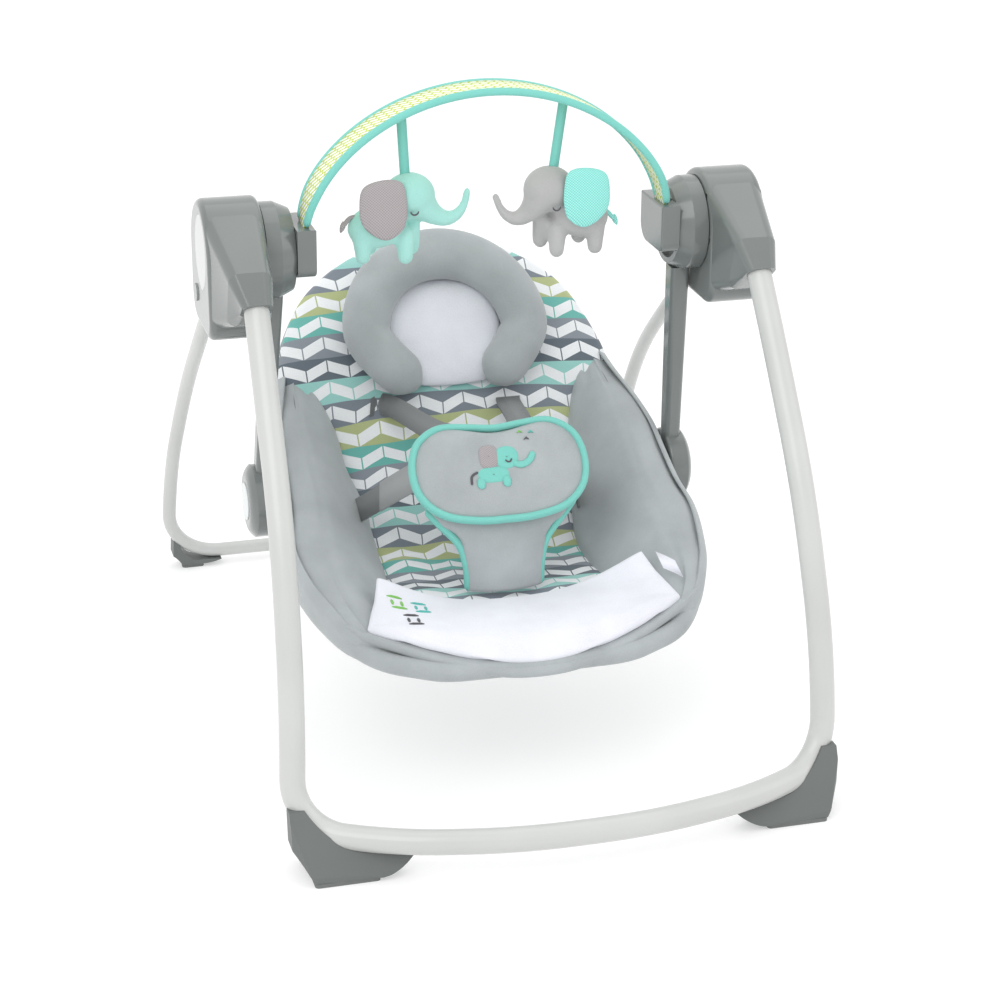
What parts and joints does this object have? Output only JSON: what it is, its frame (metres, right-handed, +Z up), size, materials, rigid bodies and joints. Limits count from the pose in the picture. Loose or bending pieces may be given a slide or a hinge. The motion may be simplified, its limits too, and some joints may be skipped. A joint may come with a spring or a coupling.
{
  "type": "baby swing",
  "caption": "Portable motor-driven infant swing: folding tube frame, side housings, hung padded bucket seat with harness, and an arched toy bar.",
  "frame": {"origin": "on the floor, under the centre of the footprint", "axes": "+Z up, the infant faces -Y, +X is the infant's left"},
  "size_m": [0.585, 0.8424, 0.6755],
  "materials": {
    "frame_grey": "satin light grey powder coat",
    "foot_grey": "smooth mid grey moulding",
    "pad_rubber": "matte grey non-slip pad",
    "shell_grey": "glossy mid grey moulding",
    "lens_grey": "glossy lighter grey plate",
    "button_white": "glossy off-white",
    "latch_grey": "glossy grey",
    "pin_steel": "turned",
    "bush_nylon": "natural nylon",
    "board_green": "solder-masked board",
    "cell_jacket": "plain jacket",
    "speaker_black": "black",
    "coil_copper": "enamelled wire",
    "magnet_steel": "nickel plated",
    "seat_tube": "grey powder coat",
    "print_fabric": "woven polyester with a chevron print",
    "plush_grey": "short grey plush",
    "plush_white": "short white plush",
    "webbing": "woven webbing",
    "bar_strip": "flexible strip",
    "bar_fabric": "woven sleeve with piped edges",
    "toy_teal": "teal plush",
    "toy_grey": "grey plush"
  },
  "bodies": {
    "front_frame": {"front_frame_tube": "frame_grey", "front_foot_left": "foot_grey", "front_foot_right": "foot_grey", "front_soles": "pad_rubber", "housing_inner_left": "shell_grey", "housing_inner_right": "shell_grey", "housing_outer_left": "shell_grey", "housing_outer_right": "shell_grey", "badge_lens_left": "lens_grey", "control_panel_right": "lens_grey", "battery_door": "shell_grey", "battery_cells": "cell_jacket", "circuit_board": "board_green", "speaker": "speaker_black", "drive_coil": "coil_copper", "housing_screws": "pin_steel", "fold_pins": "pin_steel", "shaft_bushes": "bush_nylon"},
    "rear_frame": {"rear_frame_tube": "frame_grey", "rear_foot_left": "foot_grey", "rear_foot_right": "foot_grey", "rear_soles": "pad_rubber", "leg_knuckle_left": "shell_grey", "leg_knuckle_right": "shell_grey"},
    "swing": {"hub_left": "shell_grey", "hub_right": "shell_grey", "swing_shafts": "pin_steel", "swing_arm_left": "shell_grey", "swing_arm_right": "shell_grey", "recline_cap_left": "shell_grey", "recline_cap_right": "shell_grey", "drive_arm": "bush_nylon", "drive_magnet": "magnet_steel"},
    "seat": {"seat_bracket_left": "shell_grey", "seat_bracket_right": "shell_grey", "seat_back_tube": "seat_tube", "seat_front_tube": "seat_tube", "seat_cover": "plush_grey", "seat_pad": "print_fabric", "bolster_left": "plush_grey", "bolster_right": "plush_grey", "leg_rest": "plush_white", "head_support": "plush_grey", "head_cushion": "plush_white", "belly_pad": "plush_grey", "crotch_pad": "plush_grey", "harness_straps": "webbing"},
    "toy_bar_arch": {"toy_bar": "bar_strip", "toy_bar_sleeve": "bar_fabric", "toy_socket_left": "shell_grey", "toy_socket_right": "shell_grey"},
    "toy_left": {"toy_elephant_left": "toy_teal"},
    "toy_right": {"toy_elephant_right": "toy_grey"},
    "recline_left": {"recline_button_left": "button_white"},
    "recline_right": {"recline_button_right": "button_white"},
    "latch_left": {"fold_button_left": "latch_grey"},
    "latch_right": {"fold_button_right": "latch_grey"},
    "power": {"power_button": "button_white"},
    "speed": {"speed_button": "button_white"},
    "melody": {"melody_button": "button_white"}
  },
  "joints": [
    {"name": "swing_pivot", "type": "hinge", "parent": "front_frame", "child": "swing", "pos_m": [0, -0.0068, 0.515], "axis": [1, 0, 0], "range_deg": [-16, 16]},
    {"name": "seat_recline", "type": "hinge", "parent": "swing", "child": "seat", "pos_m": [0, 0.0372, 0.228], "axis": [1, 0, 0], "range_deg": [-15, 0]},
    {"name": "rear_fold", "type": "hinge", "parent": "front_frame", "child": "rear_frame", "pos_m": [0, 0.0172, 0.469], "axis": [1, 0, 0], "range_deg": [-70, 0]},
    {"name": "toy_bar_tilt", "type": "hinge", "parent": "swing", "child": "toy_bar_arch", "pos_m": [0, -0.0068, 0.515], "axis": [1, 0, 0], "range_deg": [-45, 25]},
    {"name": "toy_left_sway", "type": "hinge", "parent": "toy_bar_arch", "child": "toy_left", "pos_m": [-0.084, -0.0258, 0.654], "axis": [1, 0, 0], "range_deg": [-30, 30]},
    {"name": "toy_right_sway", "type": "hinge", "parent": "toy_bar_arch", "child": "toy_right", "pos_m": [0.084, -0.0258, 0.654], "axis": [1, 0, 0], "range_deg": [-30, 30]},
    {"name": "recline_left_push", "type": "slide", "parent": "swing", "child": "recline_left", "axis": [1, 0, 0], "range_m": [0, 0.002], "stiffness_N_per_m": 400},
    {"name": "recline_right_push", "type": "slide", "parent": "swing", "child": "recline_right", "axis": [-1, 0, 0], "range_m": [0, 0.002], "stiffness_N_per_m": 400},
    {"name": "latch_left_push", "type": "slide", "parent": "front_frame", "child": "latch_left", "axis": [1, 0, 0], "range_m": [0, 0.0012], "stiffness_N_per_m": 400},
    {"name": "latch_right_push", "type": "slide", "parent": "front_frame", "child": "latch_right", "axis": [-1, 0, 0], "range_m": [0, 0.0012], "stiffness_N_per_m": 400},
    {"name": "power_push", "type": "slide", "parent": "front_frame", "child": "power", "axis": [-1, 0, 0], "range_m": [0, 0.001], "stiffness_N_per_m": 300},
    {"name": "speed_push", "type": "slide", "parent": "front_frame", "child": "speed", "axis": [-1, 0, 0], "range_m": [0, 0.001], "stiffness_N_per_m": 300},
    {"name": "melody_push", "type": "slide", "parent": "front_frame", "child": "melody", "axis": [-1, 0, 0], "range_m": [0, 0.001], "stiffness_N_per_m": 300}
  ]
}
